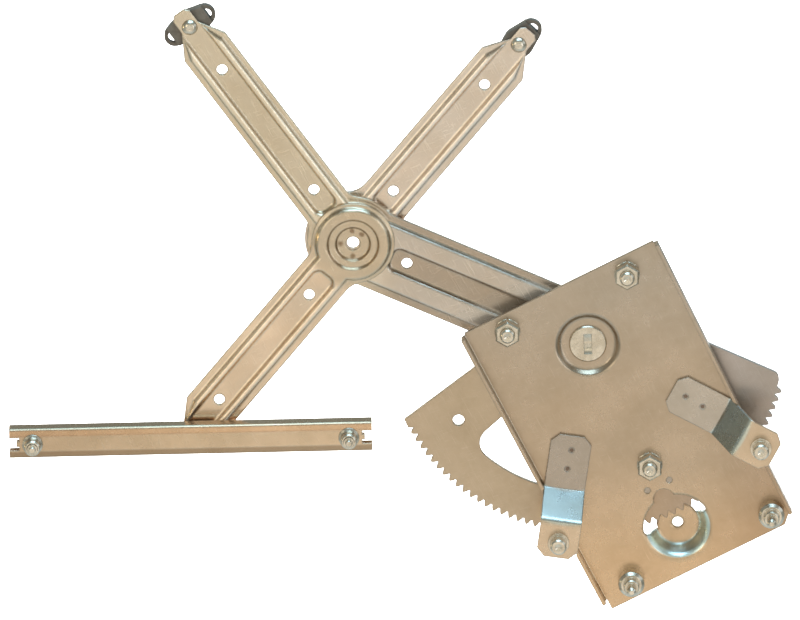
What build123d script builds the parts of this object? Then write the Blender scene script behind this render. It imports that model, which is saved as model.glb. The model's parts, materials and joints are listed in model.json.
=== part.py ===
from build123d import *
import math
import os

# Scissor window regulator in pressed steel, without its motor.
# Millimetres. The arms swing in the XZ plane, +Z is up in the door, and -Y faces the cabin.
# The origin is the pilot hole of the drive pinion, on the front face of its cup.

# Gear geometry
gear_module = 1.5875
full_circle_teeth = 140
pinion_teeth = 9
addendum = 1.2
tooth_depth = 2.9
tooth_tip_width = 0.7
tooth_root_width = 4.1
pivot_bearing = 115.4

# Sheet thicknesses
plate_sheet = 2.0
arm_sheet = 2.0
sector_sheet = 3.0
rail_sheet = 1.5
bracket_sheet = 2.0

# Clearances
running_gap = 0.3
fit_gap = 0.1
rail_gap = 0.5

# Back plate
plate_top = 37.5
plate_bottom = 144.2
plate_left = 61.0
plate_right_top = 62.5
plate_right_bottom = 58.0
plate_tilt = 27.2
plate_chamfer = 5.0
flange_height = 8.0
flange_relief = 1.2
plate_bend = 2.6
boss_outer_radius = 17.9
boss_inner_radius = 15.2
boss_depth = 3.2
cup_outer_radius = 17.2
cup_corner_radius = 12.2
cup_depth = 9.8
cup_outer_bend = 5.5
cup_floor_bend = 2.5
pilot_radius = 3.0
mesh_window_radius = 19.2
mesh_window_inner_radius = 11.8
mesh_window_start = -85.0
mesh_window_end = 83.0
mesh_window_corner = 2.9
mesh_arch_radius = 5.9
mesh_arch_offset = 18.4
sight_hole_radius = 1.8
sight_hole_spots = [(45.8, -79.2), (33.6, -85.4)]

# Main pivot rivet
pivot_shank_radius = 7.0
pivot_head_radius = 10.6
pivot_head_height = 1.6
pivot_tail_radius = 11.0
pivot_tail_height = 2.0
pivot_slot_width = 4.4
pivot_slot_length = 12.0
pivot_slot_depth = 2.0
pivot_slot_bearing = 92.0
washer_thickness = 0.7
washer_radius = 13.5

# Scissor geometry
hub_distance = 143.1
hub_bearing = 156.48
lift_end_distance = 153.8
lift_end_bearing = 126.2
glass_end_distance = 145.5
equaliser_bearing = 50.6
slide_end_distance = 143.1

# Pressed ribs
ridge_height = 3.0
fold_height = 0.5
fold_slope = 60.0
wall_slope = 20.0
crown_height = 0.8
crown_slope = 50.0
hollow_inset = 1.1
hollow_slope = 26.0
panel_half_width = 5.4
panel_corner = 3.0
panel_start = 24.5
panel_stop = 21.0

# Lift arm
lift_upper_half_width = 14.1
lift_upper_flange = 2.4
lift_hub_flange = 2.4
lift_lower_half_width = 22.4
lift_lower_flange = 3.4
lift_hub_radius = 25.6
lift_hub_neck = 9.0
lift_tail_length = 42.0
lift_tail_corner = 13.0

# Equaliser arm
equaliser_half_width = 14.7
equaliser_flange = 3.2
front_hub_radius = 23.2
front_hub_flange = 1.3
rear_hub_radius = 27.0
rear_hub_flange = 2.4
equaliser_hub_neck = 14.0
hub_step_outer = 14.7
hub_step_inner = 8.9
hub_step_slope = 1.2
hub_step_wall = 1.0
front_weld_hole = 3.9
rear_weld_hole = 3.3
journal_radius = 11.9
rear_dish_radius = 20.2
rear_dish_slope = 1.6

# Arm ends
tip_half_width = 5.6
tip_overhang = 10.2
tip_corner = 2.2
tip_chamfer_start = 14.2
rib_end_width = 0.6
tooling_hole_radius = 3.0
lift_upper_holes = [36.9, 123.4]
lift_lower_hole = 32.8
front_half_holes = [38.6, 117.9]
rear_half_holes = [35.5, 115.6]
end_pin_radius = 3.2
end_pin_head_radius = 4.5
end_pin_head_height = 2.7
end_pin_tail_radius = 4.6
end_pin_tail_height = 1.0
rail_pin_collar_radius = 4.2

# Toothed sector
sector_first_tooth = 208.5
sector_teeth = 54
sector_left_end = 204.05
sector_left_land = 2.5
sector_left_drop = 0.9
sector_right_end = 350.0
sector_hub_radius = 27.0
sector_end_corner = 5.0
sector_hole_radius = 3.25
sector_hole_spot = (-72.2, -46.0)
window_outer_radius = 88.0
window_inner_radius = 48.0
window_start = 222.5
window_end = 318.0
window_corner = 10.0
sector_rivet_radius = 3.0
sector_rivet_head_radius = 4.0
sector_rivet_head_height = 1.5
sector_rivet_spots = [(30.0, 12.0), (-28.0, 11.5), (-28.0, -11.5)]

# Slide shoes
shoe_length = 32.5
shoe_ear_radius = 6.0
shoe_body_radius = 8.6
shoe_thickness = 7.0
shoe_ear_thickness = 4.0
shoe_flat_half_length = 11.7
shoe_loop_length = 6.4
shoe_loop_depth = 2.6
shoe_edge_round = 0.9
shoe_recess_radius = 5.4
shoe_recess_depth = 1.6
left_shoe_bearing = 36.0
right_shoe_bearing = 47.0

# Guide rail
rail_length = 203.0
rail_height = 17.1
rail_depth = 12.0
rail_lip = 3.0
rail_web_height = 8.6
rail_shoulder_depth = 1.6
rail_web_bend = 2.0
rail_back_bend = 2.2
rail_tilt = 1.3
rail_notch_length = 5.5
rail_notch_height = 7.4
stop_tab_width = 2.8
stop_tab_length = 5.0
rail_stud_inset = 13.0
rail_stud_radius = 2.9
rail_stud_length = 14.4
rail_pilot_radius = 2.0
rail_pilot_length = 2.5
rail_pilot_chamfer = 0.5
rail_stud_head_radius = 3.8
rail_stud_head_height = 1.2
rail_nut_flange_radius = 5.8
rail_nut_flange_height = 1.8
rail_nut_radius = 4.5
rail_nut_height = 9.0

# Plate fasteners
plate_stud_spots = [(-45.0, 8.2), (21.7, 41.7), (34.8, -70.0)]
plate_stud_radius = 4.0
plate_stud_length = 12.0
stud_head_radius = 6.4
stud_head_height = 1.2
stud_cup_radius = 2.1
stud_cup_depth = 0.8
stud_point = 0.9
nut_across_flats = 13.0
nut_height = 8.0
nut_washer_radius = 7.2
nut_washer_height = 1.2
nut_washer_rim = 0.8
corner_stud_spots = [(103.0, -97.8), (24.7, -138.0)]
corner_collar_radius = 7.3
corner_collar_height = 9.5
corner_collar_round = 1.6
corner_step_radius = 4.4
corner_step_height = 5.0
corner_step_round = 0.6
corner_pin_radius = 2.6
corner_pin_height = 9.0

# Motor brackets
bracket_width = 23.0
bracket_rise = 22.0
bracket_run = 12.7
bracket_bend = 2.8
bracket_foot = 32.5
bracket_ear = 20.0
bracket_corner = 4.5
bracket_notch_length = 38.0
left_bracket_spot = (-8.6, -52.6)
left_bracket_bearing = 262.0
right_bracket_spot = (46.9, -26.3)
right_bracket_bearing = 332.0
bracket_stud_radius = 4.5
bracket_stud_length = 9.8
bracket_stud_head_radius = 6.2
bracket_stud_head_height = 2.0
bracket_collar_radius = 5.95
bracket_collar_height = 2.2
bracket_stud_inset = 9.0
weld_dimple_radius = 1.6
weld_dimple_depth = 0.5
weld_dimple_spots = [(8.5, 0.8), (19.7, 0.0)]

# Stack of the layers along Y, from the cabin side to the door skin
plate_front = -cup_depth
plate_back = plate_front + plate_sheet
boss_front = plate_front + boss_depth
boss_back = boss_front + plate_sheet
sector_front = boss_back + washer_thickness + running_gap
sector_back = sector_front + sector_sheet
lift_top = sector_back
lift_base = lift_top + ridge_height
lift_back = lift_base + arm_sheet
front_half_back = lift_top - running_gap
front_half_base = front_half_back - arm_sheet
front_half_top = front_half_base - ridge_height
rear_half_top = lift_back + running_gap
rear_half_base = rear_half_top + ridge_height
rear_half_back = rear_half_base + arm_sheet
rail_back = front_half_top - rail_gap
rail_front = rail_back - rail_depth

# Points in the XZ plane
pitch_radius = gear_module * full_circle_teeth / 2
tip_radius = pitch_radius + addendum
root_radius = tip_radius - tooth_depth
centre_distance = gear_module * (full_circle_teeth + pinion_teeth) / 2


def polar(radius, bearing, start=(0.0, 0.0)):
    """Point at a radius and a bearing in degrees from a start point."""
    angle = math.radians(bearing)
    return (start[0] + radius * math.cos(angle), start[1] + radius * math.sin(angle))


pivot = polar(centre_distance, pivot_bearing)
hub = polar(hub_distance, hub_bearing, pivot)
lift_end = polar(lift_end_distance, lift_end_bearing, hub)
glass_end = polar(glass_end_distance, equaliser_bearing, hub)
slide_end = polar(slide_end_distance, equaliser_bearing + 180, hub)


def face_plane(depth, spot=(0.0, 0.0), bearing=0.0):
    """Drawing plane at a depth along Y, seen from the cabin, turned to a bearing about a spot."""
    x_dir = (math.cos(math.radians(bearing)), 0, math.sin(math.radians(bearing)))
    return Plane(origin=(spot[0], depth, spot[1]), x_dir=x_dir, z_dir=(0, -1, 0))


def turning_plane(spot):
    """Half-section plane of a turned form about a Y axis: radius across, depth along Y."""
    return Plane(origin=(spot[0], 0, spot[1]), x_dir=(1, 0, 0), z_dir=(0, 0, 1))


def turning_axis(spot):
    """Axis along Y through a spot."""
    return Axis((spot[0], 0, spot[1]), (0, 1, 0))


def turn(spot, *outline):
    """Add a solid of revolution about a Y axis from an outline of radius and depth pairs."""
    with BuildSketch(turning_plane(spot)) as section:
        with BuildLine():
            Polyline(*outline, close=True)
        make_face()
    revolve(section.sketch, axis=turning_axis(spot))


def bore(spot, radius, front, back):
    """Cut a round hole along Y between two depths."""
    with BuildSketch(face_plane(back, spot)) as round_hole:
        Circle(radius)
    extrude(round_hole.sketch, amount=back - front, mode=Mode.SUBTRACT)


def dished_wall(spot, *path, sheet, bend):
    """Add a drawn wall of even thickness that follows a path of radius and depth pairs inwards."""
    with BuildSketch(turning_plane(spot)) as section:
        with BuildLine():
            FilletPolyline(*path, radius=bend)
            offset(amount=sheet, side=Side.RIGHT)
        make_face()
    revolve(section.sketch, axis=turning_axis(spot))


def arm_outline(half_width, reach):
    """Blank of an arm that runs along +X from its hub and narrows to a tongue."""
    end = reach + tip_overhang
    upper = [
        (0, half_width),
        (reach - tip_chamfer_start, half_width),
        (reach, tip_half_width),
        (end - tip_corner, tip_half_width),
        (end, tip_half_width - tip_corner),
    ]
    lower = [(x, -y) for x, y in reversed(upper)]
    Polygon(*upper, *lower, align=None)


def rib_outline(half_width, flange, reach):
    """Foot of the raised ribs: the blank less its flange, ending where the tongue starts."""
    rib_half_width = half_width - flange
    upper = [
        (0, rib_half_width),
        (reach - tip_chamfer_start - flange / 2, rib_half_width),
        (reach - flange / 2, panel_half_width + rib_end_width),
    ]
    lower = [(x, -y) for x, y in reversed(upper)]
    Polygon(*upper, *lower, align=None)


def hub_necks(hub_radius):
    """Corners of the sketch in hand where the arms' edges leave the hub circle."""
    return vertices().filter_by(lambda corner: abs(corner.center().length - hub_radius) < 0.01)


def panel_outline(start, end, spread):
    """Flat floor between two ribs, with rounded corners, widened by a spread."""
    with Locations(((start + end) / 2, 0)):
        RectangleRounded(end - start, 2 * (panel_half_width + spread), panel_corner + spread)


def pressed_ribs(foot, floors, base):
    """Ribs in three slopes, a soft fold, a steep wall and a crown, round the floors they frame."""
    wall_height = ridge_height - fold_height - crown_height
    slopes = ((fold_height, fold_slope), (wall_height, wall_slope), (crown_height, crown_slope))
    depth = base
    inset = 0
    with BuildPart(mode=Mode.PRIVATE) as ribs:
        for height, slope in slopes:
            extrude(foot(depth, inset), amount=height, taper=slope)
            extrude(floors(depth, inset), amount=height, taper=-slope, mode=Mode.SUBTRACT)
            depth = depth - height
            inset = inset + height * math.tan(math.radians(slope))
    return ribs.part


def rib_hollow(foot, floors, back):
    """Space left behind the ribs, pressed up from the back face."""
    with BuildPart(mode=Mode.PRIVATE) as hollow:
        extrude(foot(back, hollow_inset), amount=ridge_height, taper=hollow_slope)
        extrude(
            floors(back, hollow_inset),
            amount=ridge_height,
            taper=-hollow_slope,
            mode=Mode.SUBTRACT,
        )
    return hollow.part


plate_plane = face_plane(plate_back, pivot, plate_tilt)


def plate_spot(spot):
    """Spot given from the main pivot in the XZ plane."""
    return (pivot[0] + spot[0], pivot[1] + spot[1])


def arm_spot(spot):
    """Spot given from the main pivot, along the lift arm's lower leg and across it."""
    return polar(spot[1], hub_bearing + 90, polar(spot[0], hub_bearing, pivot))


bracket_places = [
    (left_bracket_spot, left_bracket_bearing),
    (right_bracket_spot, right_bracket_bearing),
]

# Back plate: a flat pressing with two side flanges that are notched under the brackets,
# a sunk boss for the main pivot, and a drawn pinion cup cut open towards the sector teeth
with BuildPart() as back_plate:
    with BuildSketch(plate_plane) as plate_blank:
        with BuildLine():
            Polyline(
                (-plate_left + plate_bend, plate_top),
                (plate_right_top - plate_bend, plate_top),
                (plate_right_bottom - plate_bend, -plate_bottom + plate_chamfer),
                (plate_right_bottom - plate_bend - plate_chamfer, -plate_bottom),
                (-plate_left + plate_bend, -plate_bottom),
                close=True,
            )
        make_face()
    extrude(amount=plate_sheet)
    for side, top_edge, bottom_edge in (
        (-1, -plate_left, -plate_left),
        (1, plate_right_top, plate_right_bottom),
    ):
        fold_start = Vector(top_edge, plate_top - flange_relief)
        fold_end = Vector(bottom_edge, -plate_bottom + plate_chamfer + flange_relief)
        fold_line = fold_end - fold_start
        corner = plate_plane.from_local_coords(Vector(fold_start.X, fold_start.Y, 0))
        along = (
            plate_plane.x_dir * fold_line.X + plate_plane.y_dir * fold_line.Y
        ).normalized()
        across = plate_plane.z_dir.cross(along) if side < 0 else along.cross(plate_plane.z_dir)
        with BuildSketch(Plane(origin=corner, x_dir=across, z_dir=across.cross(plate_plane.z_dir))):
            with BuildLine():
                FilletPolyline(
                    (2 * plate_bend, 0),
                    (0, 0),
                    (0, plate_sheet + flange_height),
                    radius=plate_bend,
                )
                offset(amount=plate_sheet, side=Side.RIGHT)
            make_face()
        extrude(amount=fold_line.length * (1 if side < 0 else -1))
    bore(pivot, boss_outer_radius + plate_bend, plate_front, plate_back)
    bore((0, 0), cup_outer_radius + cup_outer_bend, plate_front, plate_back)
    dished_wall(
        pivot,
        (boss_outer_radius + plate_bend, plate_front),
        (boss_outer_radius, plate_front),
        (boss_inner_radius, boss_front),
        (pivot_shank_radius + fit_gap, boss_front),
        sheet=plate_sheet,
        bend=plate_bend,
    )
    dished_wall(
        (0, 0),
        (cup_outer_radius + cup_outer_bend, plate_front),
        (cup_outer_radius, plate_front),
        (cup_corner_radius, 0),
        (pilot_radius, 0),
        sheet=plate_sheet,
        bend=(cup_outer_bend, cup_floor_bend),
    )
    with BuildSketch(face_plane(plate_sheet, (0, 0), pivot_bearing)):
        with BuildLine():
            inner_start = polar(mesh_window_inner_radius, mesh_window_start)
            inner_end = polar(mesh_window_inner_radius, mesh_window_end)
            outer_start = polar(mesh_window_radius, mesh_window_start)
            outer_end = polar(mesh_window_radius, mesh_window_end)
            Line(inner_start, outer_start)
            RadiusArc(outer_start, outer_end, -mesh_window_radius)
            Line(outer_end, inner_end)
            RadiusArc(inner_end, inner_start, mesh_window_inner_radius)
        make_face()
        fillet(vertices().sort_by_distance((0, 0, 0))[2:], mesh_window_corner)
        with Locations((mesh_arch_offset, 0)):
            Circle(mesh_arch_radius)
    extrude(amount=cup_depth + plate_sheet, mode=Mode.SUBTRACT)
    for notch_spot, notch_bearing in bracket_places:
        with BuildSketch(face_plane(plate_front, plate_spot(notch_spot), notch_bearing)):
            with Locations((bracket_foot - bracket_sheet / 2 + bracket_notch_length / 2, 0)):
                Rectangle(bracket_notch_length, bracket_width + 2 * running_gap)
        extrude(amount=2 * flange_height, mode=Mode.SUBTRACT)
    for stud_spot in plate_stud_spots:
        bore(plate_spot(stud_spot), plate_stud_radius + fit_gap, plate_front, plate_back)
    for stud_spot in corner_stud_spots:
        bore(plate_spot(stud_spot), corner_pin_radius + fit_gap, plate_front, plate_back)
    for dot_spot in sight_hole_spots:
        bore(plate_spot(dot_spot), sight_hole_radius, plate_front, plate_front + plate_sheet / 4)
back_plate.part.label = "back_plate"

# Main pivot: a headed rivet with a slotted face, set in the boss of the plate
with BuildPart() as pivot_rivet:
    tail_front = lift_top + arm_sheet + running_gap
    turn(
        pivot,
        (0, boss_front - pivot_head_height),
        (pivot_head_radius - pivot_head_height / 2, boss_front - pivot_head_height),
        (pivot_head_radius, boss_front - pivot_head_height / 2),
        (pivot_head_radius, boss_front),
        (pivot_shank_radius, boss_front),
        (pivot_shank_radius, tail_front),
        (pivot_tail_radius, tail_front),
        (pivot_tail_radius, tail_front + pivot_tail_height / 2),
        (pivot_tail_radius - pivot_tail_height / 2, tail_front + pivot_tail_height),
        (0, tail_front + pivot_tail_height),
    )
    slot_floor = boss_front - pivot_head_height + pivot_slot_depth
    cutter_radius = ((pivot_slot_length / 2) ** 2 + pivot_slot_depth**2) / (2 * pivot_slot_depth)
    cutter_plane = face_plane(slot_floor - cutter_radius, pivot, pivot_slot_bearing)
    cutter_across = cutter_plane.z_dir.cross(cutter_plane.x_dir)
    with BuildSketch(
        Plane(origin=cutter_plane.origin, x_dir=cutter_plane.x_dir, z_dir=cutter_across)
    ):
        Circle(cutter_radius)
    extrude(amount=pivot_slot_width / 2, both=True, mode=Mode.SUBTRACT)
pivot_rivet.part.label = "pivot_rivet"

with BuildPart() as pivot_washer:
    with BuildSketch(face_plane(boss_back + washer_thickness, pivot)):
        Circle(washer_radius)
        Circle(pivot_shank_radius + fit_gap, mode=Mode.SUBTRACT)
    extrude(amount=washer_thickness)
pivot_washer.part.label = "pivot_washer"


def tangent_bearing(bearing, radius, turn_sign):
    """Bearing where a line from a far point touches the hub circle of the sector."""
    return bearing + turn_sign * math.degrees(math.acos(sector_hub_radius / radius))


# Toothed sector: a blanked quadrant with a kidney window, a rack of short teeth and a blunt
# land that stops the pinion at the left end
with BuildPart() as toothed_sector:
    with BuildSketch(face_plane(sector_back, pivot)) as sector_blank:
        with BuildLine():
            left_end = polar(tip_radius, sector_left_end)
            land_end = polar(tip_radius, sector_left_end + sector_left_land)
            rack_start = polar(
                root_radius, sector_left_end + sector_left_land + sector_left_drop
            )
            right_end = polar(root_radius, sector_right_end)
            rack_middle = polar(root_radius, (sector_left_end + sector_right_end) / 2)
            left_touch = polar(sector_hub_radius, tangent_bearing(sector_left_end, tip_radius, -1))
            right_touch = polar(sector_hub_radius, tangent_bearing(sector_right_end, root_radius, 1))
            Polyline(left_touch, left_end, land_end, rack_start)
            ThreePointArc(rack_start, rack_middle, right_end)
            Line(right_end, right_touch)
            ThreePointArc(right_touch, polar(sector_hub_radius, 98), left_touch)
        make_face()
        end_corners = sector_blank.vertices().sort_by_distance((right_end[0], right_end[1], 0))
        fillet(end_corners[0], sector_end_corner)
        with PolarLocations(
            0,
            sector_teeth,
            start_angle=sector_first_tooth,
            angular_range=360 * sector_teeth / full_circle_teeth,
        ):
            Polygon(
                (root_radius - addendum / 4, -tooth_root_width / 2),
                (root_radius, -tooth_root_width / 2),
                (pitch_radius, -math.pi * gear_module / 4),
                (tip_radius, -tooth_tip_width / 2),
                (tip_radius, tooth_tip_width / 2),
                (pitch_radius, math.pi * gear_module / 4),
                (root_radius, tooth_root_width / 2),
                (root_radius - addendum / 4, tooth_root_width / 2),
                align=None,
            )
    extrude(amount=sector_sheet)
    with BuildSketch(face_plane(sector_back, pivot)) as kidney_window:
        with BuildLine():
            outer_middle = polar(window_outer_radius, (window_start + window_end) / 2)
            inner_middle = polar(window_inner_radius, (window_start + window_end) / 2)
            ThreePointArc(
                polar(window_outer_radius, window_start),
                outer_middle,
                polar(window_outer_radius, window_end),
            )
            Line(polar(window_outer_radius, window_end), polar(window_inner_radius, window_end))
            ThreePointArc(
                polar(window_inner_radius, window_end),
                inner_middle,
                polar(window_inner_radius, window_start),
            )
            Line(polar(window_inner_radius, window_start), polar(window_outer_radius, window_start))
        make_face()
        fillet(kidney_window.vertices(), window_corner)
    extrude(amount=sector_sheet, mode=Mode.SUBTRACT)
    bore(pivot, pivot_shank_radius + running_gap, sector_front, sector_back)
    bore(plate_spot(sector_hole_spot), sector_hole_radius, sector_front, sector_back)
    for rivet_spot in sector_rivet_spots:
        bore(arm_spot(rivet_spot), sector_rivet_radius + fit_gap, sector_front, sector_back)
toothed_sector.part.label = "toothed_sector"

# Lift arm: a bent pressing with two raised ribs along each leg and a ring round the hub
lift_upper_turn = Location((0, 0, 0), (0, 0, lift_end_bearing))
lift_lower_turn = Location((0, 0, 0), (0, 0, hub_bearing + 180))
lift_lower_reach = hub_distance + lift_tail_length
lift_panel_end = hub_distance - panel_stop


def lift_foot(depth, inset):
    """Foot of the lift arm's ribs and hub ring at a depth, drawn in by an inset."""
    with BuildSketch(face_plane(depth, hub)) as foot:
        Circle(lift_hub_radius - lift_hub_flange - inset)
        with Locations(lift_upper_turn):
            rib_outline(lift_upper_half_width, lift_upper_flange + inset, lift_end_distance)
        with Locations(lift_lower_turn):
            rib_reach = lift_lower_reach - lift_lower_flange - inset
            with Locations((rib_reach / 2, 0)):
                RectangleRounded(
                    rib_reach,
                    2 * (lift_lower_half_width - lift_lower_flange - inset),
                    lift_tail_corner - lift_lower_flange - inset,
                )
    return foot.sketch


def lift_floors(depth, spread):
    """Floors between the lift arm's ribs at a depth, widened by a spread."""
    with BuildSketch(face_plane(depth, hub)) as floors:
        with Locations(lift_upper_turn):
            panel_outline(panel_start - spread, lift_end_distance + tip_overhang, spread)
        with Locations(lift_lower_turn):
            panel_outline(panel_start - spread, lift_panel_end + spread, spread)
    return floors.sketch


with BuildPart() as lift_arm:
    with BuildSketch(face_plane(lift_back, hub)) as lift_blank:
        Circle(lift_hub_radius)
        with Locations(lift_upper_turn):
            arm_outline(lift_upper_half_width, lift_end_distance)
        fillet(hub_necks(lift_hub_radius), lift_hub_neck)
        with Locations(lift_lower_turn):
            with Locations((lift_lower_reach / 2, 0)):
                RectangleRounded(lift_lower_reach, 2 * lift_lower_half_width, lift_tail_corner)
    extrude(amount=arm_sheet)
    add(pressed_ribs(lift_foot, lift_floors, lift_base))
    add(rib_hollow(lift_foot, lift_floors, lift_back), mode=Mode.SUBTRACT)
    bore(hub, journal_radius + running_gap, lift_top, lift_back)
    bore(pivot, pivot_shank_radius + running_gap, lift_top, lift_back)
    bore(lift_end, end_pin_radius + fit_gap, lift_top, lift_back)
    for hole_distance in lift_upper_holes:
        hole_spot = polar(hole_distance, lift_end_bearing, hub)
        bore(hole_spot, tooling_hole_radius, lift_top, lift_back)
    hole_spot = polar(lift_lower_hole, hub_bearing + 180, hub)
    bore(hole_spot, tooling_hole_radius, lift_top, lift_back)
    for rivet_spot in sector_rivet_spots:
        bore(arm_spot(rivet_spot), sector_rivet_radius + fit_gap, lift_top, lift_back)
lift_arm.part.label = "lift_arm"

with BuildPart() as sector_rivets:
    rivet_front = sector_front - sector_rivet_head_height
    rivet_back = lift_top + arm_sheet + sector_rivet_head_height
    for rivet_spot in sector_rivet_spots:
        turn(
            arm_spot(rivet_spot),
            (0, rivet_front),
            (sector_rivet_head_radius - sector_rivet_head_height / 2, rivet_front),
            (sector_rivet_head_radius, sector_front),
            (sector_rivet_radius, sector_front),
            (sector_rivet_radius, lift_top + arm_sheet),
            (sector_rivet_head_radius, lift_top + arm_sheet),
            (sector_rivet_head_radius - sector_rivet_head_height / 2, rivet_back),
            (0, rivet_back),
        )
sector_rivets.part.label = "sector_rivets"


def equaliser_shapes(bearing, hub_foot_radius, reach):
    """Foot of the ribs and floor between them for one equaliser half, as drawing functions."""

    def foot(depth, inset):
        with BuildSketch(face_plane(depth, hub, bearing)) as outline:
            Circle(hub_foot_radius - inset)
            rib_outline(equaliser_half_width, equaliser_flange + inset, reach)
        return outline.sketch

    def floors(depth, spread):
        with BuildSketch(face_plane(depth, hub, bearing)) as outline:
            panel_outline(panel_start - spread, reach + tip_overhang, spread)
        return outline.sketch

    return foot, floors


# Front half of the equaliser: one ribbed leg down to the guide rail and a stepped hub disc
front_bearing = equaliser_bearing + 180
front_foot, front_floors = equaliser_shapes(
    front_bearing, front_hub_radius - front_hub_flange, slide_end_distance
)
front_dish_radius = hub_step_outer + hub_step_wall + hub_step_slope
with BuildPart() as equaliser_front_half:
    with BuildSketch(face_plane(front_half_back, hub, front_bearing)) as front_blank:
        Circle(front_hub_radius)
        arm_outline(equaliser_half_width, slide_end_distance)
        fillet(hub_necks(front_hub_radius), equaliser_hub_neck)
    extrude(amount=arm_sheet)
    add(pressed_ribs(front_foot, front_floors, front_half_base))
    add(rib_hollow(front_foot, front_floors, front_half_back), mode=Mode.SUBTRACT)
    bore(hub, front_dish_radius, front_half_top, front_half_back)
    middle_step = front_half_top + ridge_height / 2
    turn(
        hub,
        (front_dish_radius, front_half_top),
        (hub_step_outer, front_half_top),
        (hub_step_outer - hub_step_slope, middle_step),
        (hub_step_inner + hub_step_slope, middle_step),
        (hub_step_inner, front_half_base),
        (front_weld_hole, front_half_base),
        (front_weld_hole, front_half_back),
        (hub_step_inner + hub_step_wall, front_half_back),
        (hub_step_inner + hub_step_wall + hub_step_slope, middle_step + arm_sheet),
        (hub_step_outer + hub_step_wall - hub_step_slope, middle_step + arm_sheet),
        (front_dish_radius, front_half_top + arm_sheet),
    )
    bore(slide_end, end_pin_radius + fit_gap, front_half_top, front_half_back)
    for hole_distance in front_half_holes:
        hole_spot = polar(hole_distance, front_bearing, hub)
        bore(hole_spot, tooling_hole_radius, front_half_top, front_half_back)
equaliser_front_half.part.label = "equaliser_front_half"

# Rear half of the equaliser: one ribbed leg up to the glass, and a drawn journal that passes
# through the lift arm and is welded to the floor of the front half
rear_foot, rear_floors = equaliser_shapes(
    equaliser_bearing, rear_hub_radius - rear_hub_flange, glass_end_distance
)
dish_front = lift_top + arm_sheet + running_gap
with BuildPart() as equaliser_rear_half:
    with BuildSketch(face_plane(rear_half_back, hub, equaliser_bearing)) as rear_blank:
        Circle(rear_hub_radius)
        arm_outline(equaliser_half_width, glass_end_distance)
        fillet(hub_necks(rear_hub_radius), equaliser_hub_neck)
    extrude(amount=arm_sheet)
    add(pressed_ribs(rear_foot, rear_floors, rear_half_base))
    add(rib_hollow(rear_foot, rear_floors, rear_half_back), mode=Mode.SUBTRACT)
    bore(hub, rear_dish_radius + rear_dish_slope, rear_half_top, rear_half_back)
    turn(
        hub,
        (rear_dish_radius + rear_dish_slope, rear_half_top),
        (rear_dish_radius, dish_front),
        (journal_radius, dish_front),
        (journal_radius, front_half_back),
        (rear_weld_hole, front_half_back),
        (rear_weld_hole, front_half_back + arm_sheet),
        (journal_radius - arm_sheet, front_half_back + arm_sheet),
        (journal_radius - arm_sheet, dish_front + arm_sheet),
        (rear_dish_radius - rear_dish_slope / 2, dish_front + arm_sheet),
        (rear_dish_radius + rear_dish_slope / 2, rear_half_top + arm_sheet),
        (rear_dish_radius + rear_dish_slope, rear_half_top + arm_sheet),
    )
    bore(glass_end, end_pin_radius + fit_gap, rear_half_top, rear_half_back)
    for hole_distance in rear_half_holes:
        hole_spot = polar(hole_distance, equaliser_bearing, hub)
        bore(hole_spot, tooling_hole_radius, rear_half_top, rear_half_back)
equaliser_rear_half.part.label = "equaliser_rear_half"


def glass_pin(spot, arm_front):
    """Dome-headed pin through an arm's tongue, swaged over in the recess of its slide shoe."""
    tail_front = arm_front + arm_sheet + running_gap + shoe_thickness - shoe_recess_depth
    tail_front = tail_front + running_gap
    with BuildPart(mode=Mode.PRIVATE) as pin:
        with BuildSketch(turning_plane(spot)):
            with BuildLine():
                dome_top = (0, arm_front - end_pin_head_height)
                rim = (end_pin_head_radius, arm_front)
                shoulder = (end_pin_head_radius * 0.75, arm_front - end_pin_head_height * 0.7)
                ThreePointArc(dome_top, shoulder, rim)
                Polyline(
                    rim,
                    (end_pin_radius, arm_front),
                    (end_pin_radius, tail_front),
                    (end_pin_tail_radius, tail_front),
                    (end_pin_tail_radius, tail_front + end_pin_tail_height),
                    (0, tail_front + end_pin_tail_height),
                    dome_top,
                )
            make_face()
        revolve(axis=turning_axis(spot))
    return pin.part


with BuildPart() as left_glass_pin:
    add(glass_pin(lift_end, lift_base))
left_glass_pin.part.label = "left_glass_pin"

with BuildPart() as right_glass_pin:
    add(glass_pin(glass_end, rear_half_base))
right_glass_pin.part.label = "right_glass_pin"

# Pin of the rail shoe: flush behind the arm, with a collar that passes between the rail's lips
rail_shoe_back = rail_back - rail_sheet - running_gap
rail_shoe_front = rail_front + rail_sheet + rail_shoulder_depth + running_gap
rail_shoe_half_width = rail_height / 2 - rail_sheet - running_gap
with BuildPart() as rail_pin:
    pin_tail_back = rail_shoe_front + shoe_recess_depth - running_gap
    turn(
        slide_end,
        (0, front_half_back),
        (end_pin_radius, front_half_back),
        (end_pin_radius, front_half_base),
        (rail_pin_collar_radius, front_half_base),
        (rail_pin_collar_radius, rail_shoe_back + running_gap),
        (end_pin_radius, rail_shoe_back + running_gap),
        (end_pin_radius, pin_tail_back),
        (end_pin_tail_radius, pin_tail_back),
        (end_pin_tail_radius, pin_tail_back - end_pin_tail_height),
        (0, pin_tail_back - end_pin_tail_height),
    )
rail_pin.part.label = "rail_pin"


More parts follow.
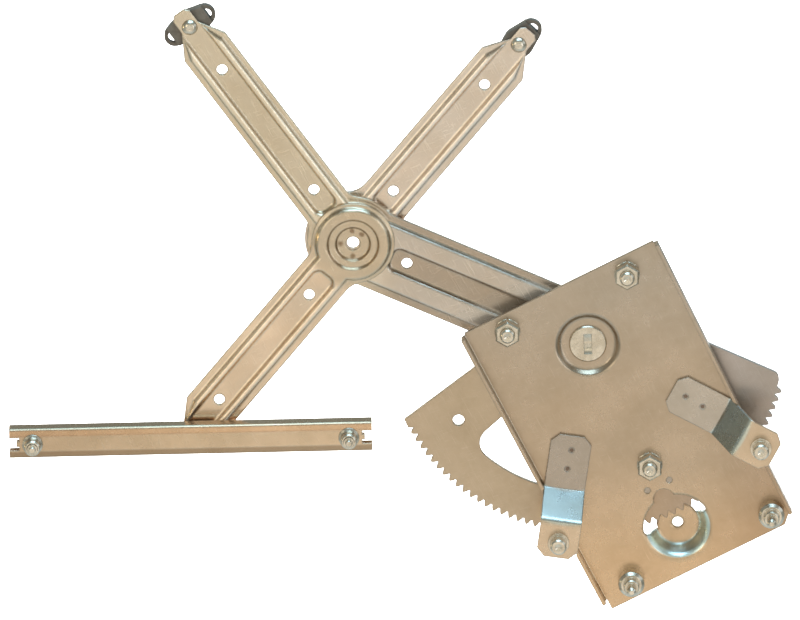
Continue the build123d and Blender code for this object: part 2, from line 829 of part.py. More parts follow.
def slide_shoe(spot, bearing, front, back, body_radius, ear_radius, recess_front):
    """Moulded shoe with a pin bore and a D-shaped spring loop at each end."""
    ear_offset = shoe_length / 2 - ear_radius
    ear_step = (back - front - shoe_ear_thickness) / 2
    with BuildPart(mode=Mode.PRIVATE) as shoe:
        with BuildSketch(face_plane(back, spot, bearing)):
            Circle(body_radius)
            with Locations((-ear_offset, 0), (ear_offset, 0)):
                Circle(ear_radius)
            make_hull()
        extrude(amount=back - front)
        fillet(faces().filter_by(Axis.Y).edges(), shoe_edge_round)
        for ear_plane, depth in ((back, ear_step), (front + ear_step, ear_step)):
            with BuildSketch(face_plane(ear_plane, spot, bearing)):
                with Locations((-shoe_length / 2, 0), (shoe_length / 2, 0)):
                    Rectangle(shoe_length - 2 * shoe_flat_half_length, shoe_length)
            extrude(amount=depth, mode=Mode.SUBTRACT)
        with BuildSketch(face_plane(back, spot, bearing)):
            for side in (-1, 1):
                with BuildLine():
                    flat_top = (side * shoe_flat_half_length, shoe_loop_length / 2)
                    flat_bottom = (side * shoe_flat_half_length, -shoe_loop_length / 2)
                    crown = (side * (shoe_flat_half_length + shoe_loop_depth), 0)
                    ThreePointArc(flat_top, crown, flat_bottom)
                    Line(flat_bottom, flat_top)
                make_face()
        extrude(amount=back - front, mode=Mode.SUBTRACT)
        bore(spot, end_pin_radius + running_gap, front, back)
        bore(spot, shoe_recess_radius, recess_front, recess_front + shoe_recess_depth)
    return shoe.part


with BuildPart() as left_slide_shoe:
    left_shoe_front = lift_back + running_gap
    left_shoe_back = left_shoe_front + shoe_thickness
    add(
        slide_shoe(
            lift_end,
            left_shoe_bearing,
            left_shoe_front,
            left_shoe_back,
            shoe_body_radius,
            shoe_ear_radius,
            left_shoe_back - shoe_recess_depth,
        )
    )
left_slide_shoe.part.label = "left_slide_shoe"

with BuildPart() as right_slide_shoe:
    right_shoe_front = rear_half_back + running_gap
    right_shoe_back = right_shoe_front + shoe_thickness
    add(
        slide_shoe(
            glass_end,
            right_shoe_bearing,
            right_shoe_front,
            right_shoe_back,
            shoe_body_radius,
            shoe_ear_radius,
            right_shoe_back - shoe_recess_depth,
        )
    )
right_slide_shoe.part.label = "right_slide_shoe"

with BuildPart() as rail_slide_shoe:
    add(
        slide_shoe(
            slide_end,
            rail_tilt,
            rail_shoe_front,
            rail_shoe_back,
            rail_shoe_half_width,
            rail_shoe_half_width,
            rail_shoe_front,
        )
    )
rail_slide_shoe.part.label = "rail_slide_shoe"

# Guide rail: a lipped channel that opens towards the door skin, with sloped shoulders beside
# its web and notched web ends
rail_along = Vector(math.cos(math.radians(rail_tilt)), 0, math.sin(math.radians(rail_tilt)))
rail_down = Vector(rail_along.Z, 0, -rail_along.X)
rail_section_plane = Plane(
    origin=(slide_end[0], 0, slide_end[1]), x_dir=rail_down, z_dir=rail_along
)
rail_stud_spots = [
    polar(side * (rail_length / 2 - rail_stud_inset), rail_tilt, slide_end) for side in (-1, 1)
]
with BuildPart() as guide_rail:
    with BuildSketch(rail_section_plane) as rail_section:
        with BuildLine():
            half_section = (
                (rail_height / 2 - rail_lip, rail_back),
                (rail_height / 2, rail_back),
                (rail_height / 2, rail_front + rail_shoulder_depth),
                (rail_web_height / 2, rail_front),
            )
            bends = (rail_back_bend, rail_web_bend, rail_web_bend)
            FilletPolyline(
                *half_section,
                *[(-height, depth) for height, depth in reversed(half_section)],
                radius=bends + bends[::-1],
            )
            offset(amount=rail_sheet, side=Side.RIGHT)
        make_face()
    extrude(amount=rail_length / 2, both=True)
    notch_depth = rail_sheet + rail_shoulder_depth
    with BuildSketch(face_plane(rail_front + notch_depth, slide_end, rail_tilt)):
        with Locations((-rail_length / 2, 0), (rail_length / 2, 0)):
            Rectangle(2 * rail_notch_length, rail_notch_height)
    extrude(amount=notch_depth, mode=Mode.SUBTRACT)
    with BuildSketch(face_plane(rail_front + stop_tab_length, slide_end, rail_tilt)):
        tab_offset = rail_length / 2 - rail_notch_length
        with Locations((-tab_offset, 0), (tab_offset, 0)):
            Rectangle(2 * rail_sheet, stop_tab_width)
    extrude(amount=stop_tab_length)
    for stud_spot in rail_stud_spots:
        bore(stud_spot, rail_stud_radius + fit_gap, rail_front, rail_front + rail_sheet)
guide_rail.part.label = "guide_rail"


def stud(spot, seat, head_radius, head_height, radius, length):
    """Headed stud pressed in from behind, with a cupped and chamfered point towards the cabin."""
    tip = seat - length
    turn(
        spot,
        (0, seat + head_height),
        (head_radius, seat + head_height),
        (head_radius, seat),
        (radius, seat),
        (radius, tip + stud_point),
        (radius - stud_point, tip),
        (stud_cup_radius, tip),
        (0, tip + stud_cup_depth),
    )


# Rail studs: headed behind the web, with a thin pilot that leads them into the door's holes
with BuildPart() as rail_studs:
    rail_web_back = rail_front + rail_sheet
    head_back = rail_web_back + rail_stud_head_height
    pilot_tip = rail_web_back - rail_stud_length
    pilot_base = pilot_tip + rail_pilot_length
    for stud_spot in rail_stud_spots:
        turn(
            stud_spot,
            (0, head_back),
            (rail_stud_head_radius, head_back),
            (rail_stud_head_radius, rail_web_back),
            (rail_stud_radius, rail_web_back),
            (rail_stud_radius, pilot_base),
            (rail_pilot_radius, pilot_base),
            (rail_pilot_radius, pilot_tip + rail_pilot_chamfer),
            (rail_pilot_radius - rail_pilot_chamfer, pilot_tip),
            (0, pilot_tip),
        )
rail_studs.part.label = "rail_studs"

with BuildPart() as rail_nuts:
    flange_top = rail_front - rail_nut_flange_height
    nut_top = rail_front - rail_nut_height
    nut_round = (rail_nut_radius - rail_stud_radius) / 2
    for stud_spot in rail_stud_spots:
        turn(
            stud_spot,
            (rail_stud_radius + fit_gap, rail_front),
            (rail_nut_flange_radius, rail_front),
            (rail_nut_flange_radius, rail_front - rail_nut_flange_height / 2),
            (rail_nut_radius, flange_top),
            (rail_nut_radius, nut_top + nut_round),
            (rail_nut_radius - nut_round, nut_top),
            (rail_stud_radius + fit_gap, nut_top),
        )
rail_nuts.part.label = "rail_nuts"

with BuildPart() as plate_studs:
    for stud_spot in plate_stud_spots:
        stud(
            plate_spot(stud_spot),
            plate_back,
            stud_head_radius,
            stud_head_height,
            plate_stud_radius,
            plate_stud_length + plate_sheet,
        )
plate_studs.part.label = "plate_studs"

# Hexagon nuts with a round washer face
with BuildPart() as plate_nuts:
    washer_top = plate_front - nut_washer_height
    nut_corner = nut_across_flats / math.sqrt(3)
    nut_chamfer = nut_corner - nut_across_flats / 2
    for stud_spot in plate_stud_spots:
        nut_spot = plate_spot(stud_spot)
        with BuildSketch(face_plane(washer_top, nut_spot)):
            RegularPolygon(nut_corner, 6, rotation=30)
        extrude(amount=nut_height - nut_washer_height)
        turn(
            nut_spot,
            (0, plate_front),
            (nut_washer_radius, plate_front),
            (nut_washer_radius, plate_front - nut_washer_rim),
            (nut_across_flats / 2, washer_top),
            (0, washer_top),
        )
        bore(nut_spot, plate_stud_radius + fit_gap, plate_front - nut_height, plate_front)
    nut_faces = faces().filter_by(GeomType.PLANE).filter_by(Axis.Y).group_by(Axis.Y)[0]
    nut_rims = nut_faces.edges().filter_by(GeomType.LINE)
    chamfer(nut_rims, nut_chamfer * 0.8)
plate_nuts.part.label = "plate_nuts"

# Shouldered fixing studs at the two lower corners of the plate
with BuildPart() as corner_studs:
    collar_top = plate_front - corner_collar_height
    step_top = collar_top - corner_step_height
    pin_top = step_top - corner_pin_height
    pin_round = corner_pin_radius / 2
    for stud_spot in corner_stud_spots:
        turn(
            plate_spot(stud_spot),
            (0, plate_back + stud_head_height),
            (corner_step_radius, plate_back + stud_head_height),
            (corner_step_radius, plate_back),
            (corner_pin_radius, plate_back),
            (corner_pin_radius, plate_front),
            (corner_collar_radius, plate_front),
            (corner_collar_radius, collar_top + corner_collar_round),
            (corner_collar_radius - corner_collar_round, collar_top),
            (corner_step_radius, collar_top),
            (corner_step_radius, step_top + corner_step_round),
            (corner_step_radius - corner_step_round, step_top),
            (corner_pin_radius, step_top),
            (corner_pin_radius, pin_top + pin_round),
            (corner_pin_radius - pin_round, pin_top),
            (0, pin_top),
        )
corner_studs.part.label = "corner_studs"


def bracket_frame(spot, bearing):
    """Frame of a bracket: x along it, y across it, z off the plate towards the cabin."""
    return face_plane(plate_front, plate_spot(spot), bearing)


def motor_bracket(spot, bearing):
    """Z-shaped strip with a welded foot and a raised ear that carries one stud."""
    frame = bracket_frame(spot, bearing)
    ear_start = bracket_foot + bracket_run
    ear_end = ear_start + bracket_ear
    with BuildPart(mode=Mode.PRIVATE) as bracket:
        side_plane = Plane(
            origin=frame.origin, x_dir=frame.x_dir, z_dir=frame.x_dir.cross(frame.z_dir)
        )
        with BuildSketch(side_plane):
            with BuildLine():
                FilletPolyline(
                    (0, 0),
                    (bracket_foot, 0),
                    (ear_start, bracket_rise),
                    (ear_end, bracket_rise),
                    radius=bracket_bend,
                )
                offset(amount=bracket_sheet, side=Side.LEFT)
            make_face()
        extrude(amount=bracket_width / 2, both=True)
        corners = edges().filter_by(Axis.Y).group_by(SortBy.LENGTH)[0]
        end_corners = corners.filter_by(
            lambda edge: min(
                abs(frame.to_local_coords(edge.center()).X),
                abs(frame.to_local_coords(edge.center()).X - ear_end),
            )
            < bracket_sheet / 4
        )
        chamfer(end_corners, bracket_corner)
        stud_at = frame.from_local_coords(Vector(ear_end - bracket_stud_inset, 0, 0))
        ear_back = plate_front - bracket_rise
        bore(
            (stud_at.X, stud_at.Z),
            bracket_stud_radius + fit_gap,
            ear_back - bracket_sheet,
            ear_back,
        )
        for dimple in weld_dimple_spots:
            dimple_at = frame.from_local_coords(Vector(dimple[0], dimple[1], 0))
            foot_top = plate_front - bracket_sheet
            bore(
                (dimple_at.X, dimple_at.Z),
                weld_dimple_radius,
                foot_top,
                foot_top + weld_dimple_depth,
            )
    return bracket.part


with BuildPart() as left_bracket:
    add(motor_bracket(left_bracket_spot, left_bracket_bearing))
left_bracket.part.label = "left_bracket"

with BuildPart() as right_bracket:
    add(motor_bracket(right_bracket_spot, right_bracket_bearing))
right_bracket.part.label = "right_bracket"

with BuildPart() as bracket_studs:
    stud_along = bracket_foot + bracket_run + bracket_ear - bracket_stud_inset
    for spot, bearing in bracket_places:
        stud_at = bracket_frame(spot, bearing).from_local_coords(Vector(stud_along, 0, 0))
        stud(
            (stud_at.X, stud_at.Z),
            plate_front - bracket_rise,
            bracket_stud_head_radius,
            bracket_stud_head_height,
            bracket_stud_radius,
            bracket_stud_length + bracket_sheet,
        )
        ear_front = plate_front - bracket_rise - bracket_sheet
        turn(
            (stud_at.X, stud_at.Z),
            (0, ear_front),
            (bracket_collar_radius, ear_front),
            (bracket_collar_radius, ear_front - bracket_collar_height),
            (0, ear_front - bracket_collar_height),
        )
bracket_studs.part.label = "bracket_studs"

os.makedirs("parts", exist_ok=True)
for finished in (
    back_plate,
    pivot_rivet,
    pivot_washer,
    plate_studs,
    plate_nuts,
    corner_studs,
    left_bracket,
    right_bracket,
    bracket_studs,
    toothed_sector,
    sector_rivets,
    lift_arm,
    left_glass_pin,
    left_slide_shoe,
    equaliser_front_half,
    equaliser_rear_half,
    right_glass_pin,
    right_slide_shoe,
    rail_pin,
    rail_slide_shoe,
    guide_rail,
    rail_studs,
    rail_nuts,
):
    export_step(finished.part, "parts/" + finished.part.label + ".step")
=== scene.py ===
import json
import math

import bmesh
import bpy
from mathutils import Matrix, Vector


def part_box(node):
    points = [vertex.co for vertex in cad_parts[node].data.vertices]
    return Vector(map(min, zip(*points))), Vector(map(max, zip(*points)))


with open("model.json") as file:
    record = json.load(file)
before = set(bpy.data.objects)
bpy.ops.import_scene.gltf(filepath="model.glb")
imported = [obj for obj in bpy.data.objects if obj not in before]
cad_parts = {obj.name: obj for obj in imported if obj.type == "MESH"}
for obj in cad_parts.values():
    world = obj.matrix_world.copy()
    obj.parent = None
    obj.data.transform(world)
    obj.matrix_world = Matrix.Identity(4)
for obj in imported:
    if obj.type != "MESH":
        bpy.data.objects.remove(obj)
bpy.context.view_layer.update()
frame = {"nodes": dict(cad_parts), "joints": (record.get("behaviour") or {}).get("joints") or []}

mm = 1000.0  # millimetres in a metre

# Places read from the frame, in metres
rivet_low, rivet_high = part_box("pivot_rivet")
pivot = (rivet_low + rivet_high) / 2
joint_spots = {joint["name"]: joint.get("pos_m") for joint in frame["joints"]}
hub = Vector(joint_spots["equaliser_pivot"])

# Depth of the back plate's front face, in metres
plate_face = -0.0098


def across_and_up(place):
    """Place in metres as the pair that the finishes use, in millimetres."""
    return (place[0] * mm, place[2] * mm)


# Places on the faces, in millimetres across and up
cup_centre = (0.0, 0.0)
pivot_centre = across_and_up(pivot)
hub_centre = across_and_up(hub)
rail_pin = across_and_up(joint_spots["rail_swivel"])


def from_pivot(across, up):
    """Place at a distance in millimetres from the plate's pivot."""
    return (pivot_centre[0] + across, pivot_centre[1] + up)


sight_dots = [from_pivot(45.8, -79.2), from_pivot(33.6, -85.4)]

# Weld spots on a bracket: how far along it and aside, in millimetres
bracket_welds = [(8.5, 0.8), (19.7, 0.0)]

# Weld marks round the hub: their circle in millimetres and their directions in degrees
hub_weld_circle = 7.3
hub_weld_angles = [48.0, 95.0, 180.0, 268.0]

# Grooves round the hub, by their radius in millimetres
hub_grooves = [9.4, 14.2]

# Depths of the floor and of the rib tops on each arm, in millimetres
lift_depths = (2.4, -0.4)
front_half_depths = (-2.9, -5.7)
rear_half_depths = (7.7, 4.9)

plate_tilt = math.radians(27.2)
rail_slope = math.radians(1.3)


class Reading:
    """A number that changes over a surface: a socket on which sums can be written."""

    def __init__(self, finish, socket):
        self.finish = finish
        self.socket = socket

    def _with(self, operation, first, second):
        return self.finish.read("ShaderNodeMath", {"operation": operation}, {0: first, 1: second})

    def __add__(self, other):
        return self._with("ADD", self, other)

    __radd__ = __add__

    def __sub__(self, other):
        return self._with("SUBTRACT", self, other)

    def __mul__(self, other):
        return self._with("MULTIPLY", self, other)

    def __pow__(self, other):
        return self._with("POWER", self, other)

    def larger(self, other):
        return self._with("MAXIMUM", self, other)

    def between(self, low, high):
        """0 at low, 1 at high, smooth in between; low may be the larger of the two."""
        return self.finish.read(
            "ShaderNodeMapRange",
            {"interpolation_type": "SMOOTHSTEP"},
            {"Value": self, "From Min": low, "From Max": high},
        )


class Finish:
    """A material, with one way to add a node and a few patterns measured in millimetres."""

    def __init__(self, name):
        self.material = bpy.data.materials.new(name)
        self.material.use_nodes = True
        self.tree = self.material.node_tree
        self.surface = self.tree.nodes["Principled BSDF"]
        self.place = self.node("ShaderNodeTexCoord").outputs["Object"]

    def node(self, kind, settings=None, inputs=None):
        """Adds any node, with its settings and with values or links for its inputs."""
        made = self.tree.nodes.new(kind)
        for name, value in (settings or {}).items():
            setattr(made, name, value)
        self.feed(made, inputs or {})
        return made

    def feed(self, made, inputs):
        """Gives inputs of a node a value or a link, by the name or place of each."""
        for name, value in inputs.items():
            socket = made.inputs[name]
            if isinstance(value, Reading):
                value = value.socket
            if isinstance(value, bpy.types.NodeSocket):
                self.tree.links.new(value, socket)
            elif isinstance(value, tuple) and len(value) == 3 and socket.type == "RGBA":
                socket.default_value = (*value, 1.0)
            else:
                socket.default_value = value

    def read(self, kind, settings=None, inputs=None):
        """Adds a node and reads its first output as a number."""
        return Reading(self, self.node(kind, settings, inputs).outputs[0])

    def axis(self, letter):
        """One coordinate in millimetres."""
        split = self.node("ShaderNodeSeparateXYZ", None, {0: self.place})
        return Reading(self, split.outputs[letter]) * mm

    def turned(self, angle=0.0, stretch=(1.0, 1.0, 1.0), centre=(0.0, 0.0, 0.0)):
        """Coordinates round a centre, turned about Y by degrees and stretched along each axis."""
        return self.node(
            "ShaderNodeMapping",
            {"vector_type": "TEXTURE"},
            {
                "Vector": self.place,
                "Location": centre,
                "Rotation": (0.0, math.radians(angle), 0.0),
                "Scale": stretch,
            },
        ).outputs[0]

    def noise(self, size, detail=3.0, roughness=0.55, where=None):
        """Cloudy pattern with features of about a size in millimetres."""
        return self.read(
            "ShaderNodeTexNoise",
            None,
            {
                "Vector": where or self.place,
                "Scale": mm / size,
                "Detail": detail,
                "Roughness": roughness,
            },
        )

    def blend(self, way, share, first, second):
        """Two colours in one; the mix node keeps its colours in sockets 6, 7 and 2."""
        made = self.node("ShaderNodeMix", {"data_type": "RGBA", "blend_type": way}, {0: share})
        self.feed(made, {6: first, 7: second})
        return made.outputs[2]

    def mix(self, share, first, second):
        """The first colour where the share is 0, the second where it is 1."""
        return self.blend("MIX", share, first, second)

    def tint(self, share, colour, by):
        """A colour multiplied by another where the share is 1."""
        return self.blend("MULTIPLY", share, colour, by)

    def distance(self, spot):
        """Distance in millimetres from a spot on the face, given as a pair in millimetres."""
        across = self.axis("X") - spot[0]
        up = self.axis("Z") - spot[1]
        return (across * across + up * up) ** 0.5

    def near(self, spot, inner, outer):
        """1 up to an inner distance from a spot, 0 from an outer one on."""
        return self.distance(spot).between(outer, inner)

    def rounded(self, radius):
        """Normal that runs smoothly over every edge, as on pressed sheet, with a radius in mm."""
        made = self.node("ShaderNodeBevel", {"samples": 6}, {"Radius": radius / mm})
        return made.outputs[0]

    def bump(self, height, millimetres, strength=1.0, normal=None):
        """Relief of a height in millimetres, on top of a normal where one is given."""
        inputs = {"Height": height, "Distance": millimetres / mm, "Strength": strength}
        if normal is not None:
            inputs["Normal"] = normal
        return self.node("ShaderNodeBump", None, inputs).outputs[0]

    def scratches(self, angle, width, length, scarcity):
        """Long thin marks along one direction, as a share from 0 to 1."""
        where = self.turned(angle, (length, 1.0, width))
        fine = self.noise(1.0, 1.5, 0.5, where)
        return fine.between(scarcity, scarcity + 0.05)

    def set(self, **values):
        """Inputs of the surface, by their names in small letters."""
        named = {key.replace("_", " ").title(): value for key, value in values.items()}
        self.feed(self.surface, named)


def zinc_finish(name, tone, roughness=0.20, seed=0.0, fold=1.0, normal=None, metal=None):
    """Zinc plate with a warm passivate: mottled, scratched, slightly wavy and satin.

    The tone, the normal and the metal are functions that draw them on the finish. The seed shifts
    the pattern in metres, and the fold is the radius of the sheet's edges in millimetres.
    """
    finish = Finish(name)
    where = finish.turned(centre=(seed, seed * 0.7, seed * 1.3))
    waves = finish.noise(60.0, 2.0, 0.4, where)
    clouds = finish.noise(34.0, 4.0, 0.6, where)
    spots = finish.noise(5.0, 3.0, 0.6, where)
    grain = finish.noise(0.7, 2.0, 0.6, where)
    steep = finish.scratches(angle=62.0, width=0.22, length=12.0, scarcity=0.665)
    level = finish.scratches(angle=-17.0, width=0.16, length=8.0, scarcity=0.675)
    marks = steep.larger(level)
    mottle = clouds.between(0.34, 0.68) * 0.75 + spots.between(0.3, 0.7) * 0.25
    colour = finish.tint(mottle, tone(finish), (0.88, 0.86, 0.82))
    colour = finish.tint(marks, colour, (1.22, 1.24, 1.28))
    edges = normal(finish) if normal else finish.rounded(fold)
    wavy = finish.bump(waves, 1.6, 1.0, edges)
    relief = grain * 0.6 + spots * 0.5 + marks * -0.5
    finish.set(
        base_color=colour,
        metallic=metal(finish) if metal else 1.0,
        roughness=roughness + clouds * 0.10 + spots * 0.06 + marks * 0.12,
        normal=finish.bump(relief, 0.02, 0.6, wavy),
    )
    return finish.material


def plate_tone(finish):
    """Grey-brown at the top and warmer below as painted light, shaded at the right, with a painted
    reflection on the drawn cup's wall.
    """
    top, middle, bottom = (0.485, 0.415, 0.345), (0.50, 0.40, 0.305), (0.64, 0.465, 0.308)
    painted_cup_reflection, right_shade, dot_grey = (0.84, 1.0, 1.0), (0.88, 0.85, 0.84), (0.78, 0.88, 1.06)
    height = finish.axis("Z")
    # Painted light: lighter and warmer towards the bottom, which lies nearer the front lamps
    tone = finish.mix(height.between(150.0, 60.0), top, middle)
    tone = finish.mix(height.between(50.0, -25.0), tone, bottom)
    tone = finish.tint(finish.axis("X").between(10.0, 50.0), tone, right_shade)
    inside_rim = finish.near(cup_centre, 17.5, 18.5)
    outside_floor = finish.distance(cup_centre).between(11.5, 12.8)
    # Painted reflection: a cool tint on the drawn cup's wall, between its rim and its floor
    tone = finish.mix(inside_rim * outside_floor, tone, painted_cup_reflection)
    for spot in sight_dots:
        tone = finish.tint(finish.near(spot, 1.5, 1.9), tone, dot_grey)
    return tone


def plate_normal(finish):
    """Narrow folds, and the wide bends of the drawn cup."""
    cup = finish.near(cup_centre, 19.0, 22.0)
    return finish.mix(cup, finish.rounded(1.1), finish.rounded(3.2))


def rib_tops(finish, depths):
    """Share that is 1 on the tops of the ribs, from the depths of an arm's floor and rib tops."""
    floor_depth, rib_depth = depths
    middle = (floor_depth + rib_depth) / 2
    return finish.axis("Y").between(middle, rib_depth)


def painted_rib_highlight(finish, tone, depths):
    """Brighter on the tops of the ribs: a painted highlight where they catch the lamps."""
    return finish.tint(rib_tops(finish, depths), tone, (1.22, 1.24, 1.27))


def lift_tone(finish):
    """Pale on the leg to the glass, browner on the leg behind the plate, where the ribs' tops carry
    a painted cool reflection; painted highlights on all the ribs' tops.
    """
    pale, brown, painted_cool_reflection = (0.69, 0.585, 0.455), (0.475, 0.39, 0.315), (1.08, 1.13, 1.20)
    beyond_hub = finish.axis("X").between(hub_centre[0] - 5.0, hub_centre[0] + 30.0)
    tone = finish.mix(beyond_hub, pale, brown)
    # Painted cool reflection on the ribs' tops behind the plate
    tone = finish.tint(rib_tops(finish, lift_depths) * beyond_hub, tone, painted_cool_reflection)
    # Painted highlight on the ribs' tops
    return painted_rib_highlight(finish, tone, lift_depths)


def lift_metal(finish):
    """Less like a mirror beside the plate's top edge, where it would only show the plate's back."""
    across = finish.axis("X") - pivot_centre[0]
    up = finish.axis("Z") - pivot_centre[1]
    above = up * math.cos(plate_tilt) - across * math.sin(plate_tilt)
    beside_edge = above.between(52.0, 42.0)
    return beside_edge * -0.55 + 1.0


def front_half_tone(finish):
    """Warm and pale on the leg with painted highlights on the ribs' tops, brown on the hub disc
    with its grooves and dark weld marks.
    """
    pale, brown = (0.75, 0.61, 0.48), (0.64, 0.53, 0.405)
    groove_shade, burnt = (0.74, 0.66, 0.58), (0.50, 0.43, 0.38)
    # Painted highlight on the ribs' tops
    leg = painted_rib_highlight(finish, pale, front_half_depths)
    tone = finish.mix(finish.near(hub_centre, 22.0, 28.0), leg, brown)
    for groove in hub_grooves:
        outside = finish.distance(hub_centre).between(groove - 1.2, groove)
        ring = outside * finish.near(hub_centre, groove, groove + 1.2)
        tone = finish.tint(ring, tone, groove_shade)
    ragged = finish.noise(2.2, 3.0, 0.6)
    for angle in hub_weld_angles:
        turn = math.radians(angle)
        spot = (
            hub_centre[0] + hub_weld_circle * math.cos(turn),
            hub_centre[1] + hub_weld_circle * math.sin(turn),
        )
        share = (finish.distance(spot) + ragged * 2.4).between(3.4, 1.8)
        tone = finish.tint(share, tone, burnt)
    return tone


def rear_half_tone(finish):
    """Pale and a little pink, with painted highlights on the ribs' tops."""
    return painted_rib_highlight(finish, (0.755, 0.65, 0.565), rear_half_depths)


def sector_tone(finish):
    """Warm at the left, greyer at the right, and browner behind the cup's window: painted shade
    where the plate shades the sector.
    """
    warm, grey, painted_window_shade = (0.515, 0.412, 0.305), (0.45, 0.405, 0.385), (0.99, 0.88, 0.77)
    tone = finish.mix(finish.axis("X").between(-60.0, 40.0), warm, grey)
    # Painted shade on the sector round the cup
    return finish.tint(finish.near(cup_centre, 24.0, 32.0), tone, painted_window_shade)


def rail_tone(finish):
    """Darker at the left end, with a warm painted highlight on the upper shoulder and brown painted
    shade on the lower one, which faces down.
    """
    left, right = (0.53, 0.41, 0.295), (0.62, 0.49, 0.36)
    painted_shoulder_highlight, painted_lower_shade = (1.09, 0.95, 0.88), (0.80, 0.67, 0.58)
    across = finish.axis("X") - rail_pin[0]
    up = finish.axis("Z") - rail_pin[1] - across * math.tan(rail_slope)
    tone = finish.mix(across.between(-90.0, 10.0), left, right)
    # Painted highlight on the rounded upper shoulder
    shoulder = up.between(3.6, 4.6) * up.between(8.6, 7.4)
    tone = finish.tint(shoulder, tone, painted_shoulder_highlight)
    # Painted shade on the lower shoulder, which faces down
    return finish.tint(up.between(-3.8, -5.2), tone, painted_lower_shade)


def bracket_tone(root, bearing, foot):
    """Tone of a bracket: a grey foot with two dark weld spots, a painted cool reflection on the
    slope and a brown ear.

    The root is the place of the foot's end, and the bearing is where the strip points, in degrees.
    """
    ear, painted_cool_reflection, burnt = (0.64, 0.51, 0.385), (1.04, 1.30, 1.50), (0.42, 0.36, 0.34)
    turn = math.radians(bearing)

    def tone(finish):
        colour = finish.mix(finish.near(root, 42.0, 47.0), ear, foot)
        slope = finish.near(root, 45.0, 46.5) * finish.distance(root).between(31.5, 33.0)
        # Painted reflection of the sky on the slope
        colour = finish.tint(slope, colour, painted_cool_reflection)
        ragged = finish.noise(1.6, 3.0, 0.6)
        for along, aside in bracket_welds:
            spot = (
                root[0] + along * math.cos(turn) - aside * math.sin(turn),
                root[1] + along * math.sin(turn) + aside * math.cos(turn),
            )
            share = (finish.distance(spot) + ragged * 1.2).between(2.1, 1.4)
            colour = finish.tint(share, colour, burnt)
        return colour

    return tone


left_bracket_tone = bracket_tone(
    from_pivot(-8.6, -52.6), bearing=262.0, foot=(0.425, 0.372, 0.325)
)
right_bracket_tone = bracket_tone(
    from_pivot(46.9, -26.3), bearing=332.0, foot=(0.50, 0.45, 0.40)
)


def bright_finish(name):
    """Turned fasteners in bright zinc."""
    pale, brown = (0.70, 0.64, 0.55), (0.56, 0.50, 0.41)
    finish = Finish(name)
    clouds = finish.noise(5.0, 3.0, 0.6)
    grain = finish.noise(0.5, 2.0, 0.5)
    finish.set(
        base_color=finish.mix(clouds.between(0.35, 0.65), pale, brown),
        metallic=1.0,
        roughness=0.20 + clouds * 0.12,
        normal=finish.bump(grain, 0.015, 0.5, finish.rounded(0.5)),
    )
    return finish.material


def plastic_finish(name):
    """Dark moulded plastic with a dry sheen and grease smears."""
    dark, smeared = (0.12, 0.10, 0.082), (0.19, 0.165, 0.14)
    finish = Finish(name)
    clouds = finish.noise(7.0, 3.0, 0.6)
    grain = finish.noise(0.4, 2.0, 0.5)
    finish.set(
        base_color=finish.mix(clouds.between(0.35, 0.7), dark, smeared),
        roughness=0.38 + clouds * 0.2,
        normal=finish.bump(grain, 0.03, 0.5),
    )
    return finish.material


plate_zinc = zinc_finish("plate_zinc", plate_tone, normal=plate_normal)
left_bracket_zinc = zinc_finish("left_bracket_zinc", left_bracket_tone, seed=0.91)
right_bracket_zinc = zinc_finish("right_bracket_zinc", right_bracket_tone, seed=1.13)
sector_zinc = zinc_finish("sector_zinc", sector_tone, roughness=0.26, seed=0.53)
rail_zinc = zinc_finish("rail_zinc", rail_tone, roughness=0.18, seed=0.77, fold=1.3)
lift_zinc = zinc_finish(
    "lift_zinc", lift_tone, roughness=0.13, seed=0.31, fold=1.6, metal=lift_metal
)
front_half_zinc = zinc_finish(
    "front_half_zinc", front_half_tone, roughness=0.13, seed=0.47, fold=1.6
)
rear_half_zinc = zinc_finish(
    "rear_half_zinc", rear_half_tone, roughness=0.13, seed=0.59, fold=1.6
)
bright_zinc = bright_finish("bright_zinc")
dark_plastic = plastic_finish("dark_plastic")

finishes = {
    "back_plate": plate_zinc,
    "left_bracket": left_bracket_zinc,
    "right_bracket": right_bracket_zinc,
    "toothed_sector": sector_zinc,
    "lift_arm": lift_zinc,
    "equaliser_front_half": front_half_zinc,
    "equaliser_rear_half": rear_half_zinc,
    "guide_rail": rail_zinc,
    "left_slide_shoe": dark_plastic,
    "right_slide_shoe": dark_plastic,
    "rail_slide_shoe": dark_plastic,
}

# Every other piece is a turned fastener
for name, node in frame["nodes"].items():
    node.data.materials.clear()
    node.data.materials.append(finishes.get(name, bright_zinc))


def sheet_mesh(name, width, depth, place):
    """Level sheet, in place in its mesh."""
    form = bmesh.new()
    bmesh.ops.create_grid(form, x_segments=1, y_segments=1, size=0.5)
    bmesh.ops.transform(
        form,
        matrix=Matrix.Translation(place) @ Matrix.Diagonal((width, depth, 1.0, 1.0)),
        verts=form.verts,
    )
    mesh = bpy.data.meshes.new(name)
    form.to_mesh(mesh)
    form.free()
    made = bpy.data.objects.new(name, mesh)
    bpy.context.scene.collection.objects.link(made)
    return made


# Studio: a plain pale floor well below the part, which hangs as it does in a door
floor = sheet_mesh("floor", 60.0, 60.0, Vector((0.0, 10.0, -1.25)))
floor_finish = Finish("pale_floor")
floor_finish.set(base_color=(0.92, 0.92, 0.92), roughness=0.9)
floor.data.materials.append(floor_finish.material)


def soft_light(name, place, target, size, power, colour):
    """Flat lamp of a width and height in metres, turned to its target, with its power in watts."""
    lamp = bpy.data.lights.new(name, "AREA")
    lamp.shape = "RECTANGLE"
    lamp.size, lamp.size_y = size
    lamp.energy = power
    lamp.color = colour
    made = bpy.data.objects.new(name, lamp)
    made.location = place
    aim = Vector(target) - Vector(place)
    made.rotation_euler = aim.to_track_quat("-Z", "Y").to_euler()
    bpy.context.scene.collection.objects.link(made)


middle_of_part = Vector((-0.16, 0.0, 0.13))


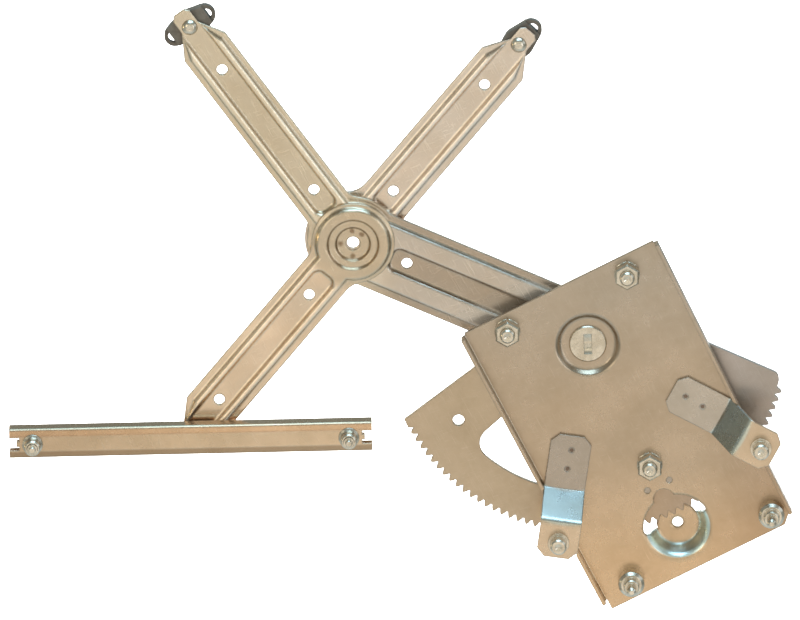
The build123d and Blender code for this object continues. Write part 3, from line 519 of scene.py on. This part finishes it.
def light_towards(name, direction, distance, size, radiance, colour):
    """Soft light seen from the part in a direction, with its brightness given per area."""
    place = middle_of_part + Vector(direction).normalized() * distance
    power = radiance * math.pi * size[0] * size[1]
    soft_light(name, place, middle_of_part, size, power, colour)


light_towards("front_low", (0.0, -0.86, -0.51), 2.9, (4.4, 1.35), 0.98, (1.0, 0.80, 0.60))
light_towards("front_level", (0.0, -1.0, -0.045), 2.9, (4.4, 1.2), 0.74, (1.0, 0.94, 0.84))
light_towards("front_floor", (-0.1, -0.62, -0.78), 1.6, (2.4, 0.7), 0.22, (1.0, 0.74, 0.50))
light_towards("front_high", (0.1, -0.90, 0.42), 2.9, (3.0, 0.7), 1.05, (1.0, 0.90, 0.72))
light_towards("window", (0.10, -0.15, 0.95), 2.3, (2.0, 1.2), 4.4, (0.50, 0.79, 1.0))
light_towards("window_back", (0.10, 0.30, 0.95), 2.3, (1.8, 0.7), 2.4, (0.30, 0.70, 1.0))
light_towards("right_side", (0.88, -0.20, 0.36), 2.5, (1.6, 1.3), 0.75, (0.80, 0.90, 1.0))
light_towards("right_strip", (0.62, -0.74, 0.14), 2.6, (0.35, 1.6), 3.4, (0.92, 0.96, 1.0))
light_towards("left_side", (-0.93, -0.30, -0.10), 2.5, (1.2, 1.0), 0.35, (1.0, 0.86, 0.66))
light_towards("cream_side", (-0.60, -0.72, 0.30), 2.6, (1.0, 1.0), 2.2, (1.0, 0.90, 0.70))
light_towards("yellow_lamp", (-0.99, 0.085, -0.025), 2.5, (0.4, 0.4), 9.0, (1.0, 0.78, 0.40))
light_towards("left_behind", (-0.93, 0.28, 0.24), 2.5, (1.0, 0.8), 0.55, (0.88, 1.0, 0.92))
light_towards("blue_behind", (0.34, 0.92, 0.22), 3.0, (0.9, 0.6), 1.3, (0.60, 0.85, 1.0))
light_towards("cream_behind", (-0.34, 0.92, 0.22), 3.0, (0.9, 0.6), 1.2, (1.0, 0.86, 0.62))
soft_light("back_floor", (-0.2, 4.5, 0.2), (-0.2, 4.5, -1.25), (3.4, 3.0), 200.0, (1.0, 1.0, 1.0))

world = bpy.data.worlds.new("studio")
bpy.context.scene.world = world
world.use_nodes = True
sky = world.node_tree.nodes["Background"]
sky.inputs["Color"].default_value = (0.92, 1.0, 0.90, 1.0)
sky.inputs["Strength"].default_value = 0.31

# Camera: a long lens straight in front of the part and 17 degrees above its level
elevation = math.radians(17.0)
camera_distance = 11.17
view_line = Vector((0.0, math.cos(elevation), -math.sin(elevation)))
aim_point = Vector((pivot.x - 0.1050, plate_face, pivot.z + 0.02044))
lens = bpy.data.cameras.new("photo_camera")
lens.lens = 900.0
lens.sensor_width = 36.0
lens.sensor_fit = "HORIZONTAL"
camera = bpy.data.objects.new("photo_camera", lens)
camera.location = aim_point - view_line * camera_distance
camera.rotation_euler = view_line.to_track_quat("-Z", "Y").to_euler()
bpy.context.scene.collection.objects.link(camera)
bpy.context.scene.camera = camera
bpy.context.scene.view_settings.view_transform = "Standard"
